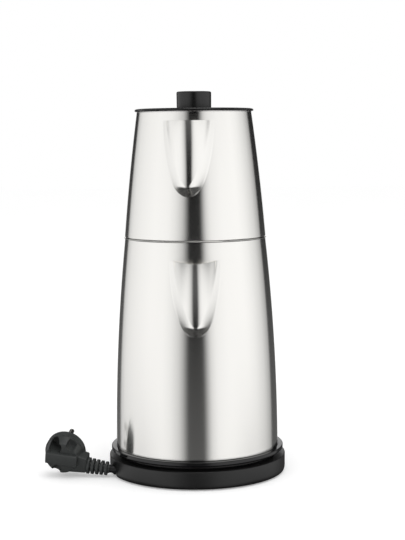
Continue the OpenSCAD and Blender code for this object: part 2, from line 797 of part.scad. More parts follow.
// ---- switch under the kettle's handle ----
switch_z = steel_z + seat_gap;
switch_top = switch_z + switch_h;
switch_reach = 18;   // from the foot of the steel
switch_depth = 30;
well_h = 20;         // height of the lever's well
lever_set = 6;       // the pin's place behind the housing's face
lever_w = 12;
lever_l = 16;
lever_t = 3.6;
lever_hub_r = 4;
lamp_r = 3.2;
lamp_l = 4;
lamp_rise = 19;      // from the pin to the lamp
switch_back = kettle_foot_r + switch_reach;
lever_y = switch_back - lever_set;
lever_z = switch_z + lamp_rise;
lever_down = 9; // the lever hangs this many degrees below level at rest
module switch_housing() {
    color([0.07, 0.07, 0.08])
        difference() {
            rounded_box(switch_w, switch_back - switch_depth, switch_back, switch_z, switch_top, 4);
            wall_envelope(function (z) kettle_r(z), steel_z - 5, rim_z, seat_gap);
            // well of the lever, its pin's hole and the lamp's seat
            translate([-lever_w / 2 - 0.5, lever_y - lever_set, lever_z - well_h / 2])
                cube([lever_w + 1, 2 * lever_set + 1, well_h]);
            cross_bar(pin_r, lever_w + 9, lever_y, lever_z);
            translate([0, switch_back - lamp_l + 1, lever_z + lamp_rise])
                rotate([-90, 0, 0]) cylinder(r = lamp_r, h = lamp_l);
        }
}

module switch_lever() {
    color([0.12, 0.12, 0.13])
        difference() {
            union() {
                cross_bar(lever_hub_r, lever_w, lever_y, lever_z);
                translate([0, lever_y, lever_z])
                    rotate([-lever_down, 0, 0])
                        translate([-lever_w / 2, 0, -lever_t / 2])
                            cube([lever_w, lever_l, lever_t]);
            }
            cross_bar(pin_r + pin_gap, lever_w + 2, lever_y, lever_z);
        }
}

module lever_pin() {
    color([0.6, 0.6, 0.62]) cross_bar(pin_r, lever_w + 8.8, lever_y, lever_z);
}

module lamp_lens() {
    color([0.75, 0.1, 0.05])
        translate([0, switch_back - lamp_l + 1, lever_z + lamp_rise])
            rotate([-90, 0, 0]) cylinder(r = lamp_r - 0.1, h = lamp_l);
}

// ---- teapot ----
module teapot_shell() {
    color([0.75, 0.75, 0.76])
        difference() {
            sheet_wall(function (z) pot_r(z), pot_z, pot_top_z, steel_t);
            rotate([0, 0, pot_turn]) spout_window(pot_lip_z);
        }
}

module teapot_spout() {
    color([0.78, 0.78, 0.79])
        rotate([0, 0, pot_turn]) spout(function (z) pot_r(z), pot_lip_z, 0);
}

// Floor pan: its well hangs in the kettle's mouth and keeps the teapot from sliding off
pot_well_r = min(kettle_mouth_r, pot_foot_r) - steel_t - 1.2;
module teapot_floor() {
    color([0.7, 0.7, 0.71])
        rotate_extrude()
            polygon([[0, pot_z - pot_drop], [pot_well_r, pot_z - pot_drop], [pot_well_r, pot_z],
                [pot_r(pot_z) - steel_t - weld_gap, pot_z],
                [pot_r(pot_z) - steel_t - weld_gap, pot_z + steel_t],
                [pot_well_r - steel_t, pot_z + steel_t],
                [pot_well_r - steel_t, pot_z - pot_drop + steel_t],
                [0, pot_z - pot_drop + steel_t]]);
}

module teapot_handle() {
    color([0.07, 0.07, 0.08])
        rotate([0, 0, pot_turn])
            handle(function (z) pot_r(z), pot_grip_z, pot_grip_span, pot_reach, pot_z, pot_top_z);
}

module teapot_brackets() {
    color([0.7, 0.7, 0.71])
        rotate([0, 0, pot_turn])
            brackets(function (z) pot_r(z), pot_grip_z, pot_grip_span, pot_z, pot_top_z);
}

module teapot_handle_screws() {
    color([0.6, 0.6, 0.62])
        rotate([0, 0, pot_turn])
            handle_screws(function (z) pot_r(z), pot_grip_z, pot_grip_span);
}

// ---- strainer: hangs by its flange on the teapot's mouth, under the lid ----
flange_z = pot_top_z + seat_gap / 2;
sleeve_r = pot_mouth_in - 0.6;        // its upper sleeve runs inside the mouth
sleeve_h = collar_h + 4;
cone_h = 8;
module tea_strainer() {
    bottom = pot_top_z - cup_depth;
    shoulder = pot_top_z - sleeve_h;
    t = cup_t;
    color([0.7, 0.7, 0.71])
        difference() {
            rotate_extrude()
                polygon([[pot_mouth_r, flange_z], [pot_mouth_r, flange_z + flange_t],
                    [sleeve_r - t, flange_z + flange_t], [sleeve_r - t, shoulder],
                    [cup_r - t, shoulder - cone_h], [cup_r - t, bottom + t],
                    [0, bottom + t], [0, bottom],
                    [cup_r, bottom], [cup_r, shoulder - cone_h],
                    [sleeve_r, shoulder], [sleeve_r, flange_z]]);
            for (i = [0 : cup_slots - 1])
                rotate([0, 0, 360 * (i + 0.5) / cup_slots])
                    translate([cup_r - 4, -0.7, bottom + 5])
                        cube([8, 1.4, shoulder - cone_h - bottom - 10]);
            for (i = [0 : 11])
                rotate([0, 0, 30 * i])
                    translate([12, -0.7, bottom - 1]) cube([cup_r - 17, 1.4, 3]);
        }
}

// ---- lid ----
knob_hole_r = 2.2;
crown = 0.5;
module lid_plate() {
    color([0.05, 0.05, 0.06])
        difference() {
            rotate_extrude()
                polygon([[0, lid_z], [lid_r - 0.8, lid_z], [lid_r, lid_z + 0.8],
                    [lid_r - 0.4, lid_z + lid_t - 1], [lid_r - 2, lid_z + lid_t - 0.3],
                    [knob_r + 6, lid_z + lid_t], [knob_r, lid_z + lid_t],
                    [knob_r - 1, lid_z + lid_t - crown], [0, lid_z + lid_t - crown]]);
            translate([0, 0, lid_z - 1]) cylinder(r = knob_hole_r, h = lid_t + 2);
        }
}

collar_r = sleeve_r - cup_t - 0.5;
module lid_collar() {
    color([0.7, 0.7, 0.71])
        difference() {
            rotate_extrude()
                polygon([[0, lid_z], [collar_r, lid_z], [collar_r, lid_z - collar_h],
                    [collar_r - 0.7, lid_z - collar_h], [collar_r - 0.7, lid_z - 0.7],
                    [0, lid_z - 0.7]]);
            translate([0, 0, lid_z - 2]) cylinder(r = knob_hole_r, h = 3);
        }
}

module lid_knob() {
    e = 1.6;
    z0 = lid_z + lid_t - crown;
    z1 = lid_z + lid_t + knob_h;
    color([0.05, 0.05, 0.06])
        difference() {
            rotate_extrude()
                polygon(concat([[0, z0], [knob_r - 1.1, z0], [knob_r - 0.1, z0 + 1]],
                    [for (a = [0 : 15 : 90])
                        [knob_r - e + e * cos(a), z1 - e + e * sin(a)]],
                    [[0, z1 - 0.2]]));
            translate([0, 0, z0 - 1]) cylinder(r = knob_hole_r - 0.15, h = 10);
        }
}

module knob_screw() {
    color([0.6, 0.6, 0.62]) screw_up(knob_hole_r - 0.2, lid_t + 8, 4, 1.8, lid_z - 0.7);
}

base_cover();
cord_winder();
base_connector();
contact_rings();
rubber_foot();
base_screws();
cord_gland();
cord_coil();
cord_lead();
plug_body();
plug_relief();
plug_contacts();
plug_earth_clips();
kettle_shell();
kettle_spout();
kettle_floor();
heat_spreader();
heating_element();
thermostat();
kettle_socket();
kettle_skirt();
kettle_underside();
underside_screws();
kettle_handle();
kettle_brackets();
kettle_handle_screws();
switch_housing();
switch_lever();
lever_pin();
lamp_lens();
teapot_shell();
teapot_spout();
teapot_floor();
teapot_handle();
teapot_brackets();
teapot_handle_screws();
tea_strainer();
lid_plate();
lid_collar();
lid_knob();
knob_screw();
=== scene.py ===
# %% [markdown]
# # An electric tea maker
# A steel teapot stands on a steel kettle, and the kettle stands on a round power base. The solids
# of the object are made elsewhere and are loaded here as a fixed frame. This lesson dresses them:
# the parts that show most get a finished mesh, every part gets a procedural material, and the
# finished parts ride on their own bodies, so that the kettle, the teapot, the lid and the switch can
# still move.

# %% Load the frame
import json
import math

import bmesh
import bpy
from mathutils import Matrix, Vector


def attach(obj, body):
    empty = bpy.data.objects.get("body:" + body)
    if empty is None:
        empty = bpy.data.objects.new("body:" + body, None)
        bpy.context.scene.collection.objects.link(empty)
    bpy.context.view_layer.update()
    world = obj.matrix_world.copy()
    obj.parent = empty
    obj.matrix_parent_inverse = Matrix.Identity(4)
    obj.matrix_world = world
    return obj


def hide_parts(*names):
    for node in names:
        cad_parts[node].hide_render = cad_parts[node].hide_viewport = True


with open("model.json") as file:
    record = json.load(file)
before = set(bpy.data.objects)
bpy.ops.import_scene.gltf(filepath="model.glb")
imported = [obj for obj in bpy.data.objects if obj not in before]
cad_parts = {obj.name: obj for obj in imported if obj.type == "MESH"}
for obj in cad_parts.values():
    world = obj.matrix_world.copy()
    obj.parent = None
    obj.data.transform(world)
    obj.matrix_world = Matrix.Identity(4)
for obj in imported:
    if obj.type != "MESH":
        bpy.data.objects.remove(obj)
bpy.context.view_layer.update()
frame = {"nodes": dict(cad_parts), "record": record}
MM = 0.001

# %% [markdown]
# ## The camera
# The camera stands a little above the kettle's spout and looks slightly down with a long lens, as
# a product photographer would place it: a long lens keeps the tall taper honest. It is made first,
# because the mains lead is measured against what the camera sees.

# %% Camera
CAMERA_PLACE = (6.6, -1268, 320.7)
CAMERA_DOWN = math.radians(5.74)
CAMERA_ROLL = math.radians(-0.55)
CAMERA_LENS = 89
camera_data = bpy.data.cameras.new("camera")
camera_data.lens = CAMERA_LENS
camera_data.clip_start = 0.05
camera = bpy.data.objects.new("camera", camera_data)
bpy.context.scene.collection.objects.link(camera)
camera.matrix_world = (
    Matrix.Translation([v * MM for v in CAMERA_PLACE])
    @ Matrix.Rotation(math.pi / 2 - CAMERA_DOWN, 4, "X")
    @ Matrix.Rotation(CAMERA_ROLL, 4, "Z")
)
bpy.context.scene.camera = camera
print("camera at", [round(v, 3) for v in camera.matrix_world.translation])

# %% [markdown]
# ## Working by hand, in code
# Almost every part below starts as a primitive, is shaped in edit mode and finished with modifiers.
# Operators act on whatever is selected, so the first helper clears the selection. The others pick
# vertices, edges or faces by their place, apply a modifier, and hand a finished part to its body.

# %% Helpers for selecting and finishing
def nothing_selected():
    if bpy.context.object and bpy.context.object.mode != "OBJECT":
        bpy.ops.object.mode_set(mode="OBJECT")
    bpy.ops.object.select_all(action="DESELECT")


def named(name):
    piece = bpy.context.object
    piece.name = piece.data.name = name
    return piece


def into_edit(piece, what="VERT"):
    nothing_selected()
    piece.select_set(True)
    bpy.context.view_layer.objects.active = piece
    bpy.ops.object.mode_set(mode="EDIT")
    bpy.ops.mesh.select_mode(type=what)


def pick(piece, kind, test):
    """Selects the vertices, edges or faces whose place passes the test, and counts them."""
    mesh = bmesh.from_edit_mesh(piece.data)
    for face in mesh.faces:
        face.select = False
    for edge in mesh.edges:
        edge.select = False
    for vert in mesh.verts:
        vert.select = False
    found = [part for part in getattr(mesh, kind) if test(part)]
    for part in found:
        part.select = True
    mesh.select_flush_mode()
    bmesh.update_edit_mesh(piece.data)
    return len(found)


def add_modifier(piece, kind, **values):
    """Adds a modifier, sets its values and applies it."""
    modifier = piece.modifiers.new(kind.lower(), kind)
    for key, value in values.items():
        setattr(modifier, key, value)
    nothing_selected()
    bpy.context.view_layer.objects.active = piece
    piece.select_set(True)
    bpy.ops.object.modifier_apply(modifier=modifier.name)


def cut_away(piece, *cutters):
    """Takes the cutters' shapes out of a piece and deletes them."""
    for cutter in cutters:
        add_modifier(piece, "BOOLEAN", operation="DIFFERENCE", object=cutter, solver="EXACT")
        bpy.data.objects.remove(cutter)


def smooth(piece, degrees=38):
    nothing_selected()
    piece.select_set(True)
    bpy.context.view_layer.objects.active = piece
    bpy.ops.object.shade_smooth_by_angle(angle=math.radians(degrees))


def finish_piece(piece, body, material, slot, *nodes):
    """Gives a piece its material and its body, and hides the CAD nodes that it stands for."""
    piece.data.materials.clear()
    piece.data.materials.append(material)
    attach(piece, body)
    if nodes:
        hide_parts(*nodes)
    print(piece.name, "on", body, "in", slot)
    return piece


# %% [markdown]
# Most of the object is round, so most parts are turned: one outline, spun about the upright axis,
# as on a lathe. The outline is drawn with one vertex that is extruded from point to point. A point
# may carry a third number, the size of its rounding. Few parts are square, and those start as a box
# whose edges are bevelled.

# %% Turning an outline
WELD = 0.002 * MM


def rounded(outline, steps=4):
    """The outline with a soft curve at each point that asks for one."""
    points = []
    for i, (r, z, *size) in enumerate(outline):
        here = Vector((r, z))
        if not size:
            points.append(here)
            continue
        before = Vector(outline[i - 1][:2]) - here
        after = Vector(outline[(i + 1) % len(outline)][:2]) - here
        start = here + before.normalized() * min(size[0], 0.49 * before.length)
        end = here + after.normalized() * min(size[0], 0.49 * after.length)
        for k in range(steps + 1):
            t = k / steps
            points.append(start * (1 - t) ** 2 + here * 2 * t * (1 - t) + end * t * t)
    return points


def turned(name, outline, steps=128, turn=2 * math.pi):
    """Spins a closed outline of (radius, height, rounding) points, in millimetres, about Z."""
    points = [p * MM for p in rounded(outline)]
    nothing_selected()
    bpy.ops.mesh.primitive_plane_add(size=0.01)
    piece = named(name)
    bpy.ops.object.mode_set(mode="EDIT")
    bpy.ops.mesh.merge(type="CENTER")
    bpy.ops.transform.translate(value=(points[0].x, 0, points[0].y))
    for here, there in zip(points, points[1:] + points[:1]):
        step = (there.x - here.x, 0, there.y - here.y)
        bpy.ops.mesh.extrude_vertices_move(TRANSFORM_OT_translate={"value": step})
    bpy.ops.mesh.select_all(action="SELECT")
    bpy.ops.mesh.remove_doubles(threshold=WELD)
    bpy.ops.mesh.select_all(action="SELECT")
    bpy.ops.mesh.spin(steps=steps, angle=turn, center=(0, 0, 0), axis=(0, 0, 1))
    bpy.ops.mesh.select_all(action="SELECT")
    bpy.ops.mesh.remove_doubles(threshold=WELD)
    bpy.ops.mesh.normals_make_consistent(inside=False)
    bpy.ops.object.mode_set(mode="OBJECT")
    return piece


def block(name, low, high, round_edges=0.0, segments=3):
    """A box between two corners, in millimetres, with its edges rounded."""
    nothing_selected()
    middle = [(a + b) / 2 * MM for a, b in zip(low, high)]
    bpy.ops.mesh.primitive_cube_add(size=1, location=middle)
    piece = named(name)
    piece.scale = [(b - a) * MM for a, b in zip(low, high)]
    bpy.ops.object.transform_apply(location=True, rotation=True, scale=True)
    if round_edges:
        add_modifier(piece, "BEVEL", width=round_edges * MM, segments=segments,
                     limit_method="ANGLE")
    return piece


# %% [markdown]
# ## The mains lead
# The lead is a round rubber cable, 7 mm thick. It starts at the gland on the winder's drum, runs
# round the drum in a flat spiral of a little over two turns, bends out through the notch in the
# base and ends in the plug. A curve with a round bevel is the natural way to make a cable, and its
# centre line gives its real length.

# %% Route of the lead
CORD_D = 7
LEAD_Z = 7
LEAD_POINTS = [(-36.7, -37.5, LEAD_Z), (-40.6, -34.3, LEAD_Z), (-44.9, -31.8, LEAD_Z),
               (-49.6, -30.1, LEAD_Z), (-54.5, -29.1, LEAD_Z), (-59.5, -29, LEAD_Z),
               (-64.5, -29, LEAD_Z), (-69.5, -29, LEAD_Z), (-74.5, -28.9, 7.1),
               (-79, -28.6, 7.2), (-83, -28.1, 7.6)]
WIND_START = math.radians(290)
WIND_END = math.radians(225.6 - 720)
WIND_IN, WIND_OUT = 37.0, 52.47


def wound_points(steps=88):
    """The flat spiral on the drum: clockwise from above, from the gland to the bend."""
    points = []
    for i in range(steps):
        share = i / steps
        angle = WIND_START + (WIND_END - WIND_START) * share
        r = WIND_IN + (WIND_OUT - WIND_IN) * share
        points.append((r * math.cos(angle), r * math.sin(angle), LEAD_Z))
    return points


route = wound_points() + LEAD_POINTS

# %% [markdown]
# ## Shared surface effects
# Several finishes use the same two effects, so each effect is a node group that is built once.
# Brushing runs round the pots: the group unrolls each point into its angle and its height, and
# stretches a noise along the angle, so that it makes long level streaks. Moulded plastic and
# rubber get a fine even grain. Each group gives a height for a bump and a value that varies the
# colour or the roughness.

# %% A helper for nodes
def wire(tree, kind, inputs=None, **settings):
    """Adds a node, sets its properties, and sets or links its inputs by name or number."""
    node = tree.nodes.new(kind)
    for key, value in settings.items():
        setattr(node, key, value)
    for key, value in (inputs or {}).items():
        socket = node.inputs[key]
        if isinstance(value, bpy.types.NodeSocket):
            tree.links.new(value, socket)
        else:
            socket.default_value = value
    return node


def effect_group(name, inputs, outputs):
    group = bpy.data.node_groups.new(name, "ShaderNodeTree")
    for label, kind, value in inputs:
        socket = group.interface.new_socket(label, in_out="INPUT", socket_type=kind)
        if value is not None:
            socket.default_value = value
    for label in outputs:
        group.interface.new_socket(label, in_out="OUTPUT", socket_type="NodeSocketFloat")
    return group, group.nodes.new("NodeGroupInput"), group.nodes.new("NodeGroupOutput")


# %% Brushed grain
POT_RADIUS = 0.07
brushed, b_in, b_out = effect_group(
    "brushed_grain",
    [("Place", "NodeSocketVector", None), ("Lines per metre", "NodeSocketFloat", 1400.0),
     ("Line length", "NodeSocketFloat", 0.05)],
    ["Streak", "Cloud"])
parts = wire(brushed, "ShaderNodeSeparateXYZ", {0: b_in.outputs["Place"]})
forward = wire(brushed, "ShaderNodeMath", {0: parts.outputs["Y"], 1: -1.0}, operation="MULTIPLY")
angle = wire(brushed, "ShaderNodeMath", {0: parts.outputs["X"], 1: forward.outputs[0]},
             operation="ARCTAN2")
arc = wire(brushed, "ShaderNodeMath", {0: angle.outputs[0], 1: POT_RADIUS},
           operation="MULTIPLY")
along = wire(brushed, "ShaderNodeMath", {0: arc.outputs[0], 1: b_in.outputs["Line length"]},
             operation="DIVIDE")
upward = wire(brushed, "ShaderNodeMath",
              {0: parts.outputs["Z"], 1: b_in.outputs["Lines per metre"]}, operation="MULTIPLY")
unrolled = wire(brushed, "ShaderNodeCombineXYZ", {0: along.outputs[0], 1: upward.outputs[0]})
streaks = wire(brushed, "ShaderNodeTexNoise",
               {"Vector": unrolled.outputs[0], "Scale": 1.0, "Detail": 5.0, "Roughness": 0.72})
clouds = wire(brushed, "ShaderNodeTexNoise",
              {"Vector": b_in.outputs["Place"], "Scale": 22.0, "Detail": 2.0})
brushed.links.new(streaks.outputs[0], b_out.inputs["Streak"])
brushed.links.new(clouds.outputs[0], b_out.inputs["Cloud"])
print("group:", brushed.name)

# %% Moulded grain
moulded, m_in, m_out = effect_group(
    "moulded_grain",
    [("Place", "NodeSocketVector", None), ("Grains per metre", "NodeSocketFloat", 1500.0)],
    ["Grain", "Cloud"])
grains = wire(moulded, "ShaderNodeTexNoise",
              {"Vector": m_in.outputs["Place"], "Scale": m_in.outputs["Grains per metre"],
               "Detail": 3.0, "Roughness": 0.6})
handled = wire(moulded, "ShaderNodeTexNoise",
               {"Vector": m_in.outputs["Place"], "Scale": 35.0, "Detail": 3.0})
moulded.links.new(grains.outputs[0], m_out.inputs["Grain"])
moulded.links.new(handled.outputs[0], m_out.inputs["Cloud"])
print("group:", moulded.name)

# %% [markdown]
# ## The finishes
# Brushed steel scatters light across the brush lines, not along them. The shader's anisotropy does
# that: its tangent is turned a quarter, from the level direction of the brushing to the upright one
# across it, so the reflections of the room stay crisp from side to side and smear up and down. The
# streaks vary the roughness and give a very shallow bump. Plastics and rubber differ in colour,
# gloss and grain.

# %% Steel finishes
def new_finish(name):
    """An empty material, in the place of the plain one that the frame brought."""
    plain = bpy.data.materials.get(name)
    if plain:
        bpy.data.materials.remove(plain)
    finish = bpy.data.materials.new(name)
    finish.use_nodes = True
    finish.node_tree.nodes.clear()
    return finish, finish.node_tree


def spread(tree, value, low, high):
    """Maps a noise value, which stays near its middle, onto a range."""
    return wire(tree, "ShaderNodeMapRange",
                {"Value": value, "From Min": 0.3, "From Max": 0.7, "To Min": low,
                 "To Max": high}).outputs[0]


def mixed(tree, factor, dark, light):
    node = wire(tree, "ShaderNodeMix", {0: factor}, data_type="RGBA")
    node.inputs[6].default_value = (*dark, 1)
    node.inputs[7].default_value = (*light, 1)
    return node.outputs[2]


def steel_finish(name, colour, roughness, anisotropy, bump=0.00001, lines=1400.0):
    finish, tree = new_finish(name)
    place = wire(tree, "ShaderNodeTexCoord").outputs["Object"]
    grain = wire(tree, "ShaderNodeGroup", node_tree=brushed)
    tree.links.new(place, grain.inputs["Place"])
    grain.inputs["Lines per metre"].default_value = lines
    height = wire(tree, "ShaderNodeBump",
                  {"Height": grain.outputs["Streak"], "Distance": bump, "Strength": 1.0})
    paler = tuple(min(1, c * 1.05) for c in colour)
    darker = tuple(c * 0.95 for c in colour)
    shader = wire(tree, "ShaderNodeBsdfPrincipled", {
        "Metallic": 1.0, "Anisotropic": anisotropy, "Anisotropic Rotation": 0.25,
        "Base Color": mixed(tree, grain.outputs["Streak"], darker, paler),
        "Roughness": spread(tree, grain.outputs["Streak"], roughness - 0.03, roughness + 0.03),
        "Normal": height.outputs[0]})
    if anisotropy:
        normal = wire(tree, "ShaderNodeNewGeometry").outputs["Normal"]
        level = wire(tree, "ShaderNodeVectorMath", {0: (0, 0, 1), 1: normal},
                     operation="CROSS_PRODUCT")
        tree.links.new(level.outputs[0], shader.inputs["Tangent"])
    out = wire(tree, "ShaderNodeOutputMaterial")
    tree.links.new(shader.outputs[0], out.inputs[0])
    return finish


steel_brushed = steel_finish("steel_brushed", (0.968, 0.948, 0.918), 0.19, 0.87)
steel_plain = steel_finish("steel_plain", (0.74, 0.73, 0.72), 0.3, 0.0, lines=700.0)
screw_steel = steel_finish("screw_steel", (0.62, 0.62, 0.61), 0.34, 0.0, lines=3000.0)
element_steel = steel_finish("element_steel", (0.36, 0.34, 0.32), 0.5, 0.0, lines=900.0)
aluminium = steel_finish("aluminium", (0.72, 0.73, 0.74), 0.42, 0.0, lines=500.0)
brass = steel_finish("brass", (0.78, 0.6, 0.28), 0.3, 0.0, lines=900.0)
nickel = steel_finish("nickel", (0.72, 0.7, 0.66), 0.2, 0.0, lines=2600.0)
print("steel and other metals: 7 finishes")

# %% Plastic and rubber finishes
def moulded_finish(name, colour, roughness, bump=0.00002, grains=1500.0, coat=0.0):
    finish, tree = new_finish(name)
    place = wire(tree, "ShaderNodeTexCoord").outputs["Object"]
    grain = wire(tree, "ShaderNodeGroup", node_tree=moulded)
    tree.links.new(place, grain.inputs["Place"])
    grain.inputs["Grains per metre"].default_value = grains
    height = wire(tree, "ShaderNodeBump",
                  {"Height": grain.outputs["Grain"], "Distance": bump, "Strength": 1.0})
    paler = tuple(c * 1.25 + 0.002 for c in colour)
    shader = wire(tree, "ShaderNodeBsdfPrincipled", {
        "Metallic": 0.0, "Coat Weight": coat, "Coat Roughness": 0.06,
        "Base Color": mixed(tree, grain.outputs["Cloud"], colour, paler),
        "Roughness": spread(tree, grain.outputs["Cloud"], roughness - 0.04, roughness + 0.05),
        "Normal": height.outputs[0]})
    out = wire(tree, "ShaderNodeOutputMaterial")
    tree.links.new(shader.outputs[0], out.inputs[0])
    return finish


base_black = moulded_finish("base_black", (0.006, 0.006, 0.006), 0.36)
inner_black = moulded_finish("inner_black", (0.016, 0.016, 0.017), 0.5)
gloss_black = moulded_finish("gloss_black", (0.003, 0.003, 0.0033), 0.08, bump=0.000002)
lid_black = moulded_finish("lid_black", (0.007, 0.007, 0.007), 0.26, bump=0.00001)
handle_black = moulded_finish("handle_black", (0.012, 0.012, 0.013), 0.36)
lever_black = moulded_finish("lever_black", (0.02, 0.02, 0.021), 0.33)
thermostat_cream = moulded_finish("thermostat_cream", (0.62, 0.58, 0.47), 0.48)
lamp_red = moulded_finish("lamp_red", (0.5, 0.02, 0.012), 0.18, bump=0.000004)
rubber = moulded_finish("rubber", (0.018, 0.018, 0.018), 0.66, bump=0.00004)
lead_sheath = moulded_finish("lead_sheath", (0.012, 0.012, 0.0125), 0.46, grains=900.0)
plug_rubber = moulded_finish("plug_rubber", (0.036, 0.039, 0.038), 0.42, bump=0.00003)
print("plastic and rubber: 11 finishes")

# %% [markdown]
# The CAD nodes that stay as they are only need their finish. The record names a material slot for
# every node, so each node takes the finish of the same name.

# %% Dress the nodes that stay
FINISHES = {f.name: f for f in (
    steel_brushed, steel_plain, screw_steel, element_steel, aluminium, brass, nickel, base_black,
    inner_black, gloss_black, lid_black, handle_black, lever_black, thermostat_cream, lamp_red,
    rubber, lead_sheath, plug_rubber)}
for entry in frame["record"]["subparts"]:
    node = frame["nodes"][entry["node"]]
    node.data.materials.clear()
    node.data.materials.append(FINISHES[entry["material_slot"]])
print("dressed", len(frame["nodes"]), "nodes")

# %% [markdown]
# ## Making the lead
# The route becomes a curve of straight steps, short enough to look round, and its bevel gives it
# the cable's thickness.

# %% Lead
nothing_selected()
bpy.ops.curve.primitive_nurbs_path_add()
lead = named("mains_lead")
line = lead.data
line.dimensions = "3D"
line.splines.clear()
spline = line.splines.new("POLY")
spline.points.add(len(route) - 1)
for point, place in zip(spline.points, route):
    point.co = (*(v * MM for v in place), 1)
line.bevel_depth = CORD_D / 2 * MM
line.bevel_resolution = 5
line.use_fill_caps = True
finish_piece(lead, "base", lead_sheath, "lead_sheath", "cord_coil", "cord_lead")

# %% [markdown]
# ## The walls of the two pots
# Each wall is one thin outline, turned. Its outer side follows the pot's gentle swell. The kettle's
# mouth ends in a small rolled rim, and the teapot's foot is rounded where it stands on that rim.
# Behind each spout a window is cut, so that what is poured can reach the spout.

# %% Sizes of the walls
STEEL_T = 0.8
KETTLE_FOOT, KETTLE_TOP = 26.4, 225.9
KETTLE_FOOT_R, KETTLE_MOUTH_R, KETTLE_SWELL = 77.5, 66.5, 2.7
POT_FOOT, POT_TOP, LID_FOOT = 226.2, 342.6, 343.5
POT_FOOT_R, POT_MOUTH_R, POT_SWELL = 66.9, 54, 0.8
POT_TURN = math.radians(-5.5)
WINDOW_HALF, WINDOW_TOP, WINDOW_FOOT, WINDOW_TAPER = 15, 6, 54, 0.125


def wall_radius(u, foot, mouth, swell):
    """The radius at the share u of the height, for a taper that swells most at its middle."""
    return foot + (mouth - foot) * u + 4 * swell * u * (1 - u)


def kettle_r(z):
    u = (z - KETTLE_FOOT) / (KETTLE_TOP - KETTLE_FOOT)
    return wall_radius(u, KETTLE_FOOT_R, KETTLE_MOUTH_R, KETTLE_SWELL)


def pot_r(z):
    u = (z - POT_FOOT) / (LID_FOOT - POT_FOOT)
    return wall_radius(u, POT_FOOT_R, POT_MOUTH_R, POT_SWELL)


def levels(low, high, steps):
    return [low + (high - low) * i / steps for i in range(steps + 1)]


def turn_with_pot(piece):
    """The teapot stands a few degrees round from the kettle, and all that is on it with it."""
    piece.data.transform(Matrix.Rotation(POT_TURN, 4, "Z"))
    return piece


def spout_window(lip_z):
    """A tapering block through the front of a wall, from just below the lip to the beak's foot."""
    foot, top = lip_z - WINDOW_FOOT, lip_z - WINDOW_TOP
    cutter = block("window", (-WINDOW_HALF, -90, foot), (WINDOW_HALF, -40, top))
    into_edit(cutter)
    pick(cutter, "verts", lambda v: v.co.z < (foot + top) / 2 * MM)
    bpy.ops.transform.resize(value=(WINDOW_TAPER, 1, 1), center_override=(0, 0, 0))
    bpy.ops.object.mode_set(mode="OBJECT")
    return cutter


print("walls:", round(kettle_r(KETTLE_FOOT), 1), "to", round(pot_r(POT_TOP), 1), "mm in radius")


# %% Kettle wall
KETTLE_LIP, POT_LIP = 208.4, 334.7
RIM_R, BEAD_R, BEAD_Z = 67.6, 0.4, 225.3
outer = [(kettle_r(z), z) for z in levels(KETTLE_FOOT, KETTLE_TOP - 1.5, 26)]
inner = [(r - STEEL_T, z) for r, z in reversed(outer)]
rim = ([(RIM_R - BEAD_R + BEAD_R * math.sin(a), BEAD_Z - BEAD_R * math.cos(a))
        for a in (math.radians(d) for d in range(0, 181, 20))]
       + [(KETTLE_MOUTH_R - STEEL_T, KETTLE_TOP, 0.3)])
kettle_wall = turned("kettle_wall", outer + rim + inner, steps=192)
cut_away(kettle_wall, spout_window(KETTLE_LIP))
smooth(kettle_wall)
finish_piece(kettle_wall, "kettle", steel_brushed, "steel_brushed", "kettle_shell")

# %% Teapot wall
outer = [(pot_r(z), z) for z in levels(POT_FOOT, POT_TOP, 18)]
inner = [(r - STEEL_T, z) for r, z in reversed(outer)]
outer[0] += (1,)
teapot_wall = turned("teapot_wall", outer + inner, steps=192)
cut_away(teapot_wall, turn_with_pot(spout_window(POT_LIP)))
smooth(teapot_wall)
finish_piece(teapot_wall, "teapot", steel_brushed, "steel_brushed", "teapot_shell")

# %% [markdown]
# ## The spouts
# Each spout is a beak pressed out of sheet: a round nose leans out of the wall, and its edge draws
# a curved V that stands off the wall a little at the lip and more towards its tip. Beside the V an
# even slope runs back to the wall and ends in a small fillet on a half oval. The sheet is a grid.
# Its columns are spread so that one of them follows the V on each side, and every vertex is pushed
# out from the wall by the height of the beak there. The grid is then given its thickness inwards.

# %% Shape of a beak
LIP_W, BLEND_W, FILLET = 20, 3.5, 0.06
SPOUT_W = LIP_W + BLEND_W
SPOUT_H, TIP_H = 69.5, 60
OVAL, V_CURVE = 2.2, 1.4
NOSE_R = LIP_W + 0.4
RISE_TOP, RISE_TIP, RISE_CURVE = 2.6, 8, 1.3


def chord(r, x):
    """How far the front of a circle of radius r stands from its middle, at x to the side."""
    return math.sqrt(max(0, r * r - x * x))


NOSE_DEPTH = NOSE_R - chord(NOSE_R, LIP_W)


def v_half(v):
    """Half the width of the V at v below the lip."""
    p = NOSE_DEPTH * max(0, 1 - v / TIP_H) ** V_CURVE
    return math.sqrt(2 * NOSE_R * p - p * p)


def inside_share(x, v):
    """How far inside the beak's outline a point is: 0 on it, 1 at the middle of the lip."""
    return 1 - math.sqrt(abs(x / SPOUT_W) ** OVAL + (v / SPOUT_H) ** 2)


def blend_height(x, v):
    """1 on the V's edge, falling evenly to 0 on the outline, with a small fillet there."""
    share = inside_share(x, v) / inside_share(v_half(v), min(v, TIP_H))
    share = min(1, max(0, share))
    return share * share * (1 + FILLET) / (share + FILLET)


def spout_rise(r, x, v):
    """How far the sheet stands off a wall of radius r: the nose inside the V, the slope outside."""
    w = v_half(v)
    edge_rise = RISE_TOP + (RISE_TIP - RISE_TOP) * min(1, v / TIP_H) ** RISE_CURVE
    if abs(x) < w:
        return chord(r, w) - chord(r, x) + edge_rise + chord(NOSE_R, x) - chord(NOSE_R, w)
    return edge_rise * blend_height(x, v)


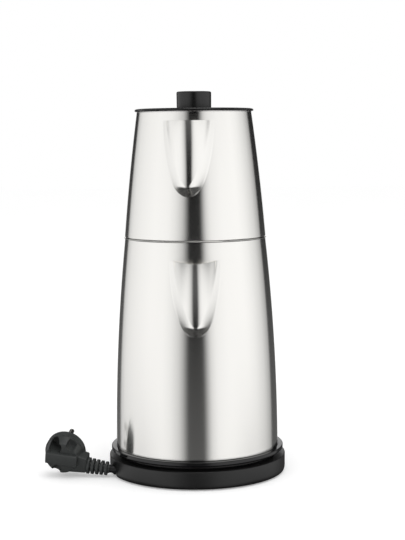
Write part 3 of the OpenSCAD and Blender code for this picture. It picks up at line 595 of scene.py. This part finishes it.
def column_x(b, v):
    """Columns run from -2 to 2; the V's edges are at -1 and 1."""
    outer = SPOUT_W * max(0, 1 - (v / SPOUT_H) ** 2) ** (1 / OVAL)
    inner = max(v_half(v), 0.12 * outer)
    if abs(b) <= 1:
        return inner * b
    return math.copysign(inner + (outer - inner) * (abs(b) - 1), b)


def beak(name, wall, lip_z, dip, skin=0.12):
    """A sheet grid bent to the beak: columns across, rows down from the lip."""
    columns, rows = 56, 48
    nothing_selected()
    bpy.ops.mesh.primitive_grid_add(x_subdivisions=columns, y_subdivisions=rows, size=2)
    piece = named(name)
    for vert in piece.data.vertices:
        b = 2 * vert.co.x
        v = SPOUT_H * math.sin(math.pi / 2 * (1 - vert.co.y) / 2)
        x = column_x(b, v)
        z = lip_z - v - dip * max(0, 1 - abs(x) / LIP_W) * (1 - v / SPOUT_H)
        r = wall(z)
        y = -chord(r, x) - max(skin, spout_rise(r, x, v))
        vert.co = (x * MM, y * MM, z * MM)
    into_edit(piece)
    bpy.ops.mesh.select_all(action="SELECT")
    bpy.ops.mesh.remove_doubles(threshold=0.01 * MM)
    bpy.ops.mesh.normals_make_consistent(inside=False)
    bpy.ops.object.mode_set(mode="OBJECT")
    if sum(f.normal.y * f.area for f in piece.data.polygons) > 0:
        piece.data.flip_normals()
    add_modifier(piece, "SOLIDIFY", thickness=STEEL_T * MM, offset=-1)
    smooth(piece, 40)
    return piece


# %% Both spouts
finish_piece(beak("kettle_beak", kettle_r, KETTLE_LIP, 2), "kettle", steel_brushed,
             "steel_brushed", "kettle_spout")
finish_piece(turn_with_pot(beak("teapot_beak", pot_r, POT_LIP, 0)), "teapot", steel_brushed,
             "steel_brushed", "teapot_spout")

# %% [markdown]
# ## Base, skirt and lid
# The base's cover is a shallow black bowl upside down: a rim, a raised deck for the kettle and a hole
# for the connector. The skirt is the glossy ring that the kettle stands on, and the lid is a thin
# disc with a plain knob. All are moulded round, so these are turned too. The small roundings of
# their edges catch the light as real mouldings do.

# %% Base cover
BASE_R, BASE_FOOT_R, BASE_LIFT, BASE_RIM = 84.4, 79.9, 1, 17.5
DECK_R, DECK, CONNECTOR_HOLE_R, COVER_T = 74, 21.3, 12.9, 2.2
base_cover = turned("base_cover_skin", [
    (BASE_FOOT_R, 2.3), (BASE_FOOT_R, BASE_LIFT, 0.3), (BASE_R, BASE_LIFT, 4.4),
    (BASE_R, BASE_RIM, 0.8), (DECK_R + 1, BASE_RIM, 0.3), (DECK_R, BASE_RIM + 1, 0.4),
    (DECK_R, DECK, 0.6), (CONNECTOR_HOLE_R, DECK, 0.3), (CONNECTOR_HOLE_R, DECK - COVER_T),
    (DECK_R - COVER_T, DECK - COVER_T), (DECK_R - COVER_T, BASE_RIM - COVER_T),
    (BASE_R - COVER_T, BASE_RIM - COVER_T), (BASE_R - COVER_T, 5.5)], steps=192)
cut_away(base_cover, block("way_out", (-90, -35, -1), (-48, -24.5, 11.5), 2))
smooth(base_cover)
finish_piece(base_cover, "base", base_black, "base_black", "base_cover")

# %% Kettle skirt
SKIRT_R, SKIRT_HOLE_R, SKIRT_FOOT, SKIRT_TOP = 82.5, 74, 21.6, 25.9
WALL_SEAT_R, WALL_SEAT, COLLAR_TOP = 78.1, 26.3, 30.9
kettle_skirt = turned("skirt_ring", [
    (SKIRT_HOLE_R, SKIRT_FOOT), (SKIRT_R - 1, SKIRT_FOOT, 0.3), (SKIRT_R, SKIRT_FOOT + 1, 0.4),
    (SKIRT_R, SKIRT_TOP, 0.8), (WALL_SEAT_R, SKIRT_TOP, 0.2), (WALL_SEAT_R, WALL_SEAT),
    (76.4, WALL_SEAT), (76, COLLAR_TOP, 0.3), (SKIRT_HOLE_R, COLLAR_TOP, 0.3)], steps=192)
smooth(kettle_skirt)
finish_piece(kettle_skirt, "kettle", gloss_black, "gloss_black", "kettle_skirt")

# %% Lid plate
LID_R, LID_TOP, LID_HOLE_R = 56.2, 346.5, 2.2
KNOB_R, KNOB_FOOT, KNOB_TOP = 16.4, 346, 362.3
lid = turned("lid_top", [
    (LID_HOLE_R, LID_FOOT), (LID_R - 0.8, LID_FOOT, 0.3), (LID_R, LID_FOOT + 0.8, 0.5),
    (LID_R - 0.4, LID_TOP - 1, 0.6), (LID_R - 2, LID_TOP - 0.3, 0.8), (KNOB_R + 6, LID_TOP),
    (KNOB_R, LID_TOP, 0.4), (KNOB_R - 1, KNOB_FOOT), (LID_HOLE_R, KNOB_FOOT)], steps=192)
smooth(lid)
finish_piece(lid, "lid", lid_black, "lid_black", "lid_plate")

# %% Knob
SCREW_R, SCREW_TOP = 2.05, 355.2
knob = turned("knob", [
    (SCREW_R, KNOB_FOOT), (KNOB_R - 1.1, KNOB_FOOT, 0.3), (KNOB_R - 0.1, KNOB_FOOT + 1, 0.5),
    (KNOB_R, KNOB_TOP, 1.6), (10, KNOB_TOP - 0.05), (0, KNOB_TOP - 0.2), (0, SCREW_TOP),
    (SCREW_R, SCREW_TOP)], steps=96)
smooth(knob)
finish_piece(knob, "lid", lid_black, "lid_black", "lid_knob")

# %% [markdown]
# ## Handles
# A handle is a moulded black D that stands out behind its pot and is screwed to two brackets on the
# wall. It could be extruded face by face, but a section drawn along a curve keeps its thickness even
# through the bends, so the path is one curve and the section, with rounded sides, is another. The
# ends reach into the wall, so the wall's own outline, made a little larger, is taken out of them,
# and each end gets the hole of its screw.

# %% Sweeping a section along a path
def soft(value, power):
    return math.copysign(abs(value) ** power, value)


def line_curve(name, places, closed=False):
    data = bpy.data.curves.new(name, "CURVE")
    data.dimensions = "3D"
    data.twist_mode = "MINIMUM"
    spline = data.splines.new("POLY")
    spline.points.add(len(places) - 1)
    for point, place in zip(spline.points, places):
        point.co = (*(v * MM for v in place), 1)
    spline.use_cyclic_u = closed
    thing = bpy.data.objects.new(name, data)
    bpy.context.scene.collection.objects.link(thing)
    return thing


WALL_GAP = 0.3
GRIP_W, GRIP_T = 25, 13
PATH_SOFT, SECTION_SOFT = 0.74, 0.75
END_IN, REACH_IN = 6, 2
HOLE_R, HOLE_DEEP, HOLE_OUT, HOLE_TOP = 3.4, 14, 11, 4.2


def wall_space(wall, low, high):
    """A solid of the wall's outside, with a little room, to take out of what stands on it."""
    side = [(wall(z) + WALL_GAP, z) for z in levels(low, high, 24)]
    return turned("wall_space", [(0, low)] + side + [(0, high)], steps=192)


def grip_path(wall, z_low, z_top, reach):
    """A soft D in the plane x = 0, with both ends inside the wall."""
    y_low, y_top = wall(z_low) + 2, wall(z_top) + 2
    y_middle, y_half = (y_top + y_low) / 2, (y_top - y_low) / 2
    z_middle, z_half = (z_top + z_low) / 2, (z_top - z_low) / 2
    path = [(0, y_top - END_IN, z_top)]
    for i in range(45):
        a = math.pi * i / 44
        down, out = soft(math.cos(a), PATH_SOFT), max(0, math.sin(a)) ** PATH_SOFT
        path.append((0, y_middle + y_half * down + (reach - REACH_IN) * out,
                     z_middle + z_half * down))
    return path + [(0, y_low - END_IN, z_low)]


def swept(name, path):
    """Draws the grip's section along a path and makes a closed mesh of it."""
    angles = [2 * math.pi * k / 40 for k in range(40)]
    section = line_curve("section", [
        (GRIP_W / 2 * soft(math.cos(a), SECTION_SOFT), GRIP_T / 2 * soft(math.sin(a), SECTION_SOFT), 0)
        for a in angles], closed=True)
    bar = line_curve("bar", path)
    bar.data.bevel_mode = "OBJECT"
    bar.data.bevel_object = section
    bar.data.use_fill_caps = True
    nothing_selected()
    bar.select_set(True)
    bpy.context.view_layer.objects.active = bar
    bpy.ops.object.convert(target="MESH")
    piece = named(name)
    bpy.data.objects.remove(section)
    into_edit(piece)
    bpy.ops.mesh.select_all(action="SELECT")
    bpy.ops.mesh.remove_doubles(threshold=0.005 * MM)
    bpy.ops.mesh.normals_make_consistent(inside=False)
    bpy.ops.object.mode_set(mode="OBJECT")
    return piece


def screw_hole(wall, z):
    """A cylinder below the middle of an end, for the screw that comes from underneath."""
    bpy.ops.mesh.primitive_cylinder_add(
        vertices=48, radius=HOLE_R * MM, depth=HOLE_DEEP * MM,
        location=(0, (wall(z) + HOLE_OUT) * MM, (z - HOLE_TOP - HOLE_DEEP / 2) * MM))
    hole = named("screw_hole")
    bpy.ops.object.transform_apply(location=True, rotation=True, scale=True)
    return hole


def grip(name, wall, z_low, span, reach, foot, top):
    piece = swept(name, grip_path(wall, z_low, z_low + span, reach))
    holes = [screw_hole(wall, z) for z in (z_low, z_low + span)]
    cut_away(piece, wall_space(wall, foot, top), *holes)
    smooth(piece)
    return piece


# %% Both handles
kettle_grip = grip("kettle_grip", kettle_r, 94.4, 100, 46, KETTLE_FOOT, KETTLE_TOP)
finish_piece(kettle_grip, "kettle", handle_black, "handle_black", "kettle_handle")
teapot_grip = turn_with_pot(grip("teapot_grip", pot_r, 258.2, 62, 42, POT_FOOT, POT_TOP))
finish_piece(teapot_grip, "teapot", handle_black, "handle_black", "teapot_handle")

# %% [markdown]
# ## The switch
# The housing is a rounded box on the back of the kettle's foot, with a well for the lever and a
# round seat for the lamp. A box with the well, the seat and the wall's own shape taken out of it is
# the shortest way to make it. The lever turns about a pin: its hub is a short cylinder, and its
# blade is a thin box that hangs a little below level.

# %% Switch housing
HOUSING_HALF, HOUSING_FOOT, HOUSING_TOP, HOUSING_Y = 16, 26.7, 72.7, 95.5
PIN_Y, PIN_Z, LEVER_DOWN, LEVER_HALF = 89.5, 45.7, 9, 6
LAMP_Z, LAMP_R = 64.7, 3.1
housing = block("housing", (-HOUSING_HALF, 60, HOUSING_FOOT), (HOUSING_HALF, HOUSING_Y, HOUSING_TOP),
                4, 6)
well = block("well", (-LEVER_HALF - 0.5, PIN_Y - 6, PIN_Z - 10),
             (LEVER_HALF + 0.5, HOUSING_Y + 1.5, PIN_Z + 10), 0.6)
nothing_selected()
bpy.ops.mesh.primitive_cylinder_add(vertices=48, radius=(LAMP_R + 0.1) * MM, depth=6 * MM,
                                    location=(0, HOUSING_Y * MM, LAMP_Z * MM),
                                    rotation=(math.pi / 2, 0, 0))
seat = named("lamp_seat")
cut_away(housing, wall_space(kettle_r, 24, 90), well, seat)
smooth(housing)
finish_piece(housing, "kettle", handle_black, "handle_black", "switch_housing")

# %% Lever and lamp
HUB_R, BLADE_L, BLADE_HALF = 4, 16, 1.8
nothing_selected()
bpy.ops.mesh.primitive_cylinder_add(vertices=64, radius=HUB_R * MM, depth=2 * LEVER_HALF * MM,
                                    location=(0, PIN_Y * MM, PIN_Z * MM),
                                    rotation=(0, math.pi / 2, 0))
hub = named("lever")
bpy.ops.object.transform_apply(location=True, rotation=True, scale=True)
blade = block("blade", (-LEVER_HALF, 0, -BLADE_HALF), (LEVER_HALF, BLADE_L, BLADE_HALF))
blade.data.transform(Matrix.Translation((0, PIN_Y * MM, PIN_Z * MM))
                     @ Matrix.Rotation(math.radians(-LEVER_DOWN), 4, "X"))
add_modifier(hub, "BOOLEAN", operation="UNION", object=blade, solver="EXACT")
bpy.data.objects.remove(blade)
add_modifier(hub, "BEVEL", width=0.5 * MM, segments=3, limit_method="ANGLE")
smooth(hub)
finish_piece(hub, "switch", lever_black, "lever_black", "switch_lever")

lens = turned("lamp", [
    (0, HOUSING_Y - 3), (LAMP_R, HOUSING_Y - 3), (LAMP_R, HOUSING_Y + 0.4, 0.5),
    (LAMP_R - 1.3, HOUSING_Y + 0.9), (0, HOUSING_Y + 1)], steps=48)
lens.data.transform(Matrix.Translation((0, 0, LAMP_Z * MM)) @ Matrix.Rotation(-math.pi / 2, 4, "X"))
smooth(lens)
finish_piece(lens, "kettle", lamp_red, "lamp_red", "lamp_lens")

# %% [markdown]
# ## The plug
# The plug has a round head with two contacts, two clips for the earth, a web across its front and an
# arm at its side that takes the lead. It lies askew, so it is modelled upright in its own frame,
# where the lead's end is the origin and the contacts point along +Y, and is then turned and carried
# to where it lies. The head is turned, three recesses for the fingers are taken out of it, the web
# and the arm are rounded boxes that are joined to it, and the seats of the clips are cut last.

# %% The plug's frame
PLUG_PLACE = (Matrix.Translation(Vector(LEAD_POINTS[-1]) * MM)
              @ Matrix.Rotation(math.radians(-8), 4, "Z")
              @ Matrix.Rotation(math.radians(8), 4, "Y")
              @ Matrix.Rotation(math.radians(16), 4, "X"))
HEAD_X, HEAD_Z, HEAD_R = -45.5, 7.5, 19
FACE_Y, HEAD_FRONT, WEB_FRONT, RELIEF_L = 11, -8, -12, 21.6
OUTSIDE = -14


def lay_down(piece):
    piece.data.transform(PLUG_PLACE)
    return piece


def about_y(name, x, z, outline, steps=96):
    """Turns an outline of (radius, y) about a line along Y through x, z."""
    piece = turned(name, outline, steps)
    piece.data.transform(Matrix.Translation((x * MM, 0, z * MM))
                         @ Matrix.Rotation(-math.pi / 2, 4, "X"))
    return piece


def recess(name, x, z, mouth_r, foot_r, foot_y, soft_edge):
    """A tapering round cutter that comes in from the front, beside the middle of the head."""
    return about_y(name, HEAD_X + x, HEAD_Z + z, [
        (0, OUTSIDE), (mouth_r, OUTSIDE), (foot_r, foot_y, soft_edge), (0, foot_y)], 48)


def join_on(piece, *others):
    for other in others:
        add_modifier(piece, "BOOLEAN", operation="UNION", object=other, solver="EXACT")
        bpy.data.objects.remove(other)


# %% Plug body
plug = about_y("plug_head", HEAD_X, HEAD_Z, [
    (0, HEAD_FRONT), (HEAD_R - 3.5, HEAD_FRONT, 1), (HEAD_R - 1, 3, 0.3), (HEAD_R, 3, 0.4),
    (HEAD_R, FACE_Y, 1), (0, FACE_Y)])
web = block("web", (HEAD_X - 15, WEB_FRONT, HEAD_Z - 5.5), (HEAD_X + 15.4, -4, HEAD_Z + 5.5), 1, 4)
arm = block("arm", (HEAD_X + 6, -7.5, HEAD_Z - 14), (-RELIEF_L, 7.5, HEAD_Z + 6))
into_edit(arm)
pick(arm, "verts", lambda v: v.co.x > (-RELIEF_L - 2) * MM)
bpy.ops.transform.resize(value=(1, 14 / 15, 15 / 20),
                         center_override=(-RELIEF_L * MM, 0, 0))
bpy.ops.object.mode_set(mode="OBJECT")
add_modifier(arm, "BEVEL", width=1.2 * MM, segments=4, limit_method="ANGLE")
cut_away(
    plug,
    recess("finger", -6.6, 10.4, 6.3, 6, 8, 1),
    recess("groove", -4, -12.5, 5.3, 4, -1, 1.2),
    recess("rest", 8.5, 14.5, 5, 4.6, 2, 1.2))
join_on(plug, web, arm)
cut_away(
    plug,
    block("left_seat", (HEAD_X - 19.6, FACE_Y - 7, HEAD_Z - 2.6),
          (HEAD_X - 16.4, FACE_Y + 2, HEAD_Z + 2.6)),
    block("right_seat", (HEAD_X + 16.4, FACE_Y - 7, HEAD_Z - 2.6),
          (HEAD_X + 19.6, FACE_Y + 2, HEAD_Z + 2.6)))
smooth(plug, 32)
finish_piece(lay_down(plug), "base", plug_rubber, "plug_rubber", "plug_body")

# %% [markdown]
# The relief keeps the lead from kinking where it leaves the plug: rubber ribs on a slim core, each a
# little wider than the last. Its outline is written rib by rib in a loop and is turned once, which
# is quicker than copying a ring and stretching each copy.

# %% Strain relief
RIBS = 5
step = RELIEF_L / RIBS
CORE_R = 4.1
outline = [(0, 0), (CORE_R, 0)]
for i in range(RIBS):
    near, far, r = step * (i + 0.44), step * (i + 1), 6.6 + 0.3 * i
    outline += [(CORE_R, near, 0.3), (r, near, 0.4), (r, far, 0.4), (CORE_R, far, 0.3)]
outline += [(0, RELIEF_L)]
relief = turned("relief", outline, steps=64)
relief.data.transform(Matrix.Rotation(-math.pi / 2, 4, "Y"))
smooth(relief)
finish_piece(lay_down(relief), "base", plug_rubber, "plug_rubber", "plug_relief")

# %% [markdown]
# The contacts are two round nickel pins with soft ends, and a flat spring clip for the earth sits in
# each side of the head. Both kinds come in pairs, so each pair is made in one loop and joined.

# %% Contacts and earth clips
CONTACT_PITCH, CONTACT_L, CONTACT_R = 19, 19, 2.4
pins = [about_y("contact", HEAD_X, HEAD_Z + side * CONTACT_PITCH / 2, [
    (0, FACE_Y), (CONTACT_R, FACE_Y), (CONTACT_R, FACE_Y + CONTACT_L, 1.6),
    (0, FACE_Y + CONTACT_L)], 48)
    for side in (-1, 1)]
clips = [block("clip", (HEAD_X + side * 18 - 1.1, FACE_Y - 7, HEAD_Z - 2),
               (HEAD_X + side * 18 + 0.9, FACE_Y + 0.5, HEAD_Z + 2), 0.3)
         for side in (-1, 1)]
for name, pair in (("contacts", pins), ("earth_clips", clips)):
    nothing_selected()
    for piece in pair:
        piece.select_set(True)
    bpy.context.view_layer.objects.active = pair[0]
    bpy.ops.object.join()
    named(name)
smooth(pins[0])
smooth(clips[0])
finish_piece(lay_down(pins[0]), "base", nickel, "nickel", "plug_contacts")
finish_piece(lay_down(clips[0]), "base", nickel, "nickel", "plug_earth_clips")

# %% [markdown]
# The pieces of the plug are laid at the lead's end.

# %% [markdown]
# ## The stage
# The object stands on a wide pale floor. Rays from the camera see it lifted to white, so that only
# the object's shadow shows on it.

# %% Floor
def seen_directly(tree):
    """1 for rays from the camera and for reflected and refracted rays, 0 for the light they give."""
    path = wire(tree, "ShaderNodeLightPath").outputs
    seen = wire(tree, "ShaderNodeMath", {0: path["Is Camera Ray"], 1: path["Is Glossy Ray"]},
                operation="MAXIMUM")
    return wire(tree, "ShaderNodeMath", {0: seen.outputs[0], 1: path["Is Transmission Ray"]},
                operation="MAXIMUM").outputs[0]


FLOOR_SIZE, FLOOR_LIFT = 14, 0.32
nothing_selected()
bpy.ops.mesh.primitive_plane_add(size=FLOOR_SIZE)
floor = named("floor")
pale, tree = new_finish("pale_floor")
place = wire(tree, "ShaderNodeTexCoord").outputs["Object"]
mottle = wire(tree, "ShaderNodeTexNoise", {"Vector": place, "Scale": 3.0})
matt = wire(tree, "ShaderNodeBsdfDiffuse",
            {"Color": mixed(tree, mottle.outputs[0], (0.78, 0.78, 0.78), (0.8, 0.8, 0.8))})
seen = seen_directly(tree)
lift = wire(tree, "ShaderNodeMath", {0: seen, 1: FLOOR_LIFT}, operation="MULTIPLY")
glow = wire(tree, "ShaderNodeEmission", {"Strength": lift.outputs[0]})
shader = wire(tree, "ShaderNodeAddShader", {0: matt.outputs[0], 1: glow.outputs[0]})
out = wire(tree, "ShaderNodeOutputMaterial")
tree.links.new(shader.outputs[0], out.inputs[0])
floor.data.materials.append(pale)
floor.visible_glossy = False
print("floor:", FLOOR_SIZE, "m wide")

# %% [markdown]
# ## Light
# The world is even white light for the camera and for what it gives to the surfaces. Reflections
# see a studio in it: a broad white wall on each side, brightest beside the object, a dark gap behind
# the camera, and white again behind the object between two dark screens. Above and below it is
# dark. Brushed steel lives from that contrast. Near the floor the gap behind the camera is a little
# wider and paler, and the walls fall off sooner towards the back.

# %% The studio that reflections see
# Each stop is a direction, in degrees from the camera's side towards +X, and its brightness
LEFT_WALL = [(-180, 0.95), (-171, 0.8), (-165, 0.04), (-143, 0.03), (-137, 0.6), (-122, 0.8),
             (-100, 0.91), (-70, 1), (-45, 0.97), (-32, 0.84), (-21, 0.6), (-15, 0.28), (-10, 0)]
RIGHT_WALL = [(9, 0), (13, 0.32), (17.5, 0.68), (26, 0.9), (45, 1), (75, 1.03), (92, 0.93),
              (102, 0.82), (113, 0.7), (124, 0.5), (131, 0.36), (134, 0.02), (165, 0.02),
              (171, 0.8), (180, 0.95)]
# The share of that brightness at each height: 1 is straight up, 0 level, -1 straight down
FALLOFF = [(-1, 0.04), (-0.75, 0.06), (-0.62, 0.26), (-0.5, 0.6), (-0.35, 0.88), (-0.15, 0.97),
           (0, 1), (0.3, 1), (0.5, 0.6), (0.7, 0.1), (1, 0.05)]
world = bpy.data.worlds.new("white_room")
bpy.context.scene.world = world
world.use_nodes = True
tree = world.node_tree
tree.nodes.clear()


def maths(operation, *values):
    return wire(tree, "ShaderNodeMath", dict(enumerate(values)), operation=operation).outputs[0]


def ranged(value, low, high, to_low, to_high):
    return wire(tree, "ShaderNodeMapRange", {
        "Value": value, "From Min": low, "From Max": high, "To Min": to_low,
        "To Max": to_high}).outputs[0]


def brightness_of(value, stops, reach):
    """A ramp with one stop for each (place, brightness), where places run from -reach to reach."""
    node = wire(tree, "ShaderNodeValToRGB", {0: value})
    elements = node.color_ramp.elements
    elements[0].position, elements[1].position = 0, 1
    for place, _ in stops[1:-1]:
        elements.new(place / (2 * reach) + 0.5)
    for element, (_, brightness) in zip(elements, stops):
        element.color = (brightness, brightness, brightness, 1)
    return node.outputs[0]


# %% Walls of the studio
way = wire(tree, "ShaderNodeTexCoord").outputs["Generated"]
way = wire(tree, "ShaderNodeSeparateXYZ", {0: way}).outputs
azimuth = maths("ARCTAN2", way["X"], maths("MULTIPLY", way["Y"], -1.0))
aside = maths("ABSOLUTE", azimuth)
# Below the object's level the gap behind the camera is wider; towards the back nothing is moved
low = ranged(way["Z"], 0.1, -0.06, 1.04, 0.8)
back = maths("MINIMUM", maths("DIVIDE", aside, math.radians(120)), 1.0)
squeeze = maths("ADD", low, maths("MULTIPLY", back, maths("SUBTRACT", 1.0, low)))
share = maths("ADD", maths("MULTIPLY", maths("MULTIPLY", azimuth, squeeze), 0.5 / math.pi), 0.5)
walls = brightness_of(share, LEFT_WALL + RIGHT_WALL, 180)
pale_gap = ranged(way["Z"], 0.03, -0.3, 0.0, 0.13)
print("studio:", len(LEFT_WALL + RIGHT_WALL), "stops round the object")

# %% Heights of the studio
# Below the object's level the walls darken sooner at the sides and the back than in front
steepen = ranged(aside, math.radians(40), math.radians(80), 0.0, 0.7)
drop = maths("MULTIPLY", maths("MINIMUM", way["Z"], 0.0), steepen)
height = maths("MULTIPLY_ADD", maths("ADD", way["Z"], drop), 0.5, 0.5)
falloff = brightness_of(height, FALLOFF, 1)
studio = maths("MULTIPLY", maths("ADD", walls, pale_gap), falloff)
mirrored = wire(tree, "ShaderNodeLightPath").outputs["Is Glossy Ray"]
plain = wire(tree, "ShaderNodeMapRange", {"Value": seen_directly(tree), "To Min": 0.85,
                                          "To Max": 1.0}).outputs[0]
level = wire(tree, "ShaderNodeMix", {0: mirrored, 2: plain, 3: studio}, data_type="FLOAT")
sky = wire(tree, "ShaderNodeBackground", {"Color": (1, 1, 1, 1), "Strength": level.outputs[0]})
out = wire(tree, "ShaderNodeOutputWorld")
tree.links.new(sky.outputs[0], out.inputs[0])
print("studio:", len(FALLOFF), "stops from the floor up")


# %% [markdown]
# One broad soft lamp above the object draws its shadow on the floor. Like the world, it is weak
# enough for a colour to render about as it is written.

# %% Lamp
def soft_lamp(name, place, power, size, aim=(0, 0, 0.15)):
    data = bpy.data.lights.new(name, "AREA")
    data.energy = power
    data.size = size
    thing = bpy.data.objects.new(name, data)
    bpy.context.scene.collection.objects.link(thing)
    way = Vector(aim) - Vector(place)
    thing.matrix_world = Matrix.Translation(place) @ way.to_track_quat("-Z", "Y").to_matrix().to_4x4()
    thing.visible_camera = False
    return thing


lamp = soft_lamp("lamp_above", (0.3, -0.5, 2.4), 16, 1.6)
bpy.context.scene.view_settings.view_transform = "Standard"
print("lamp:", lamp.name, lamp.data.energy, "W")
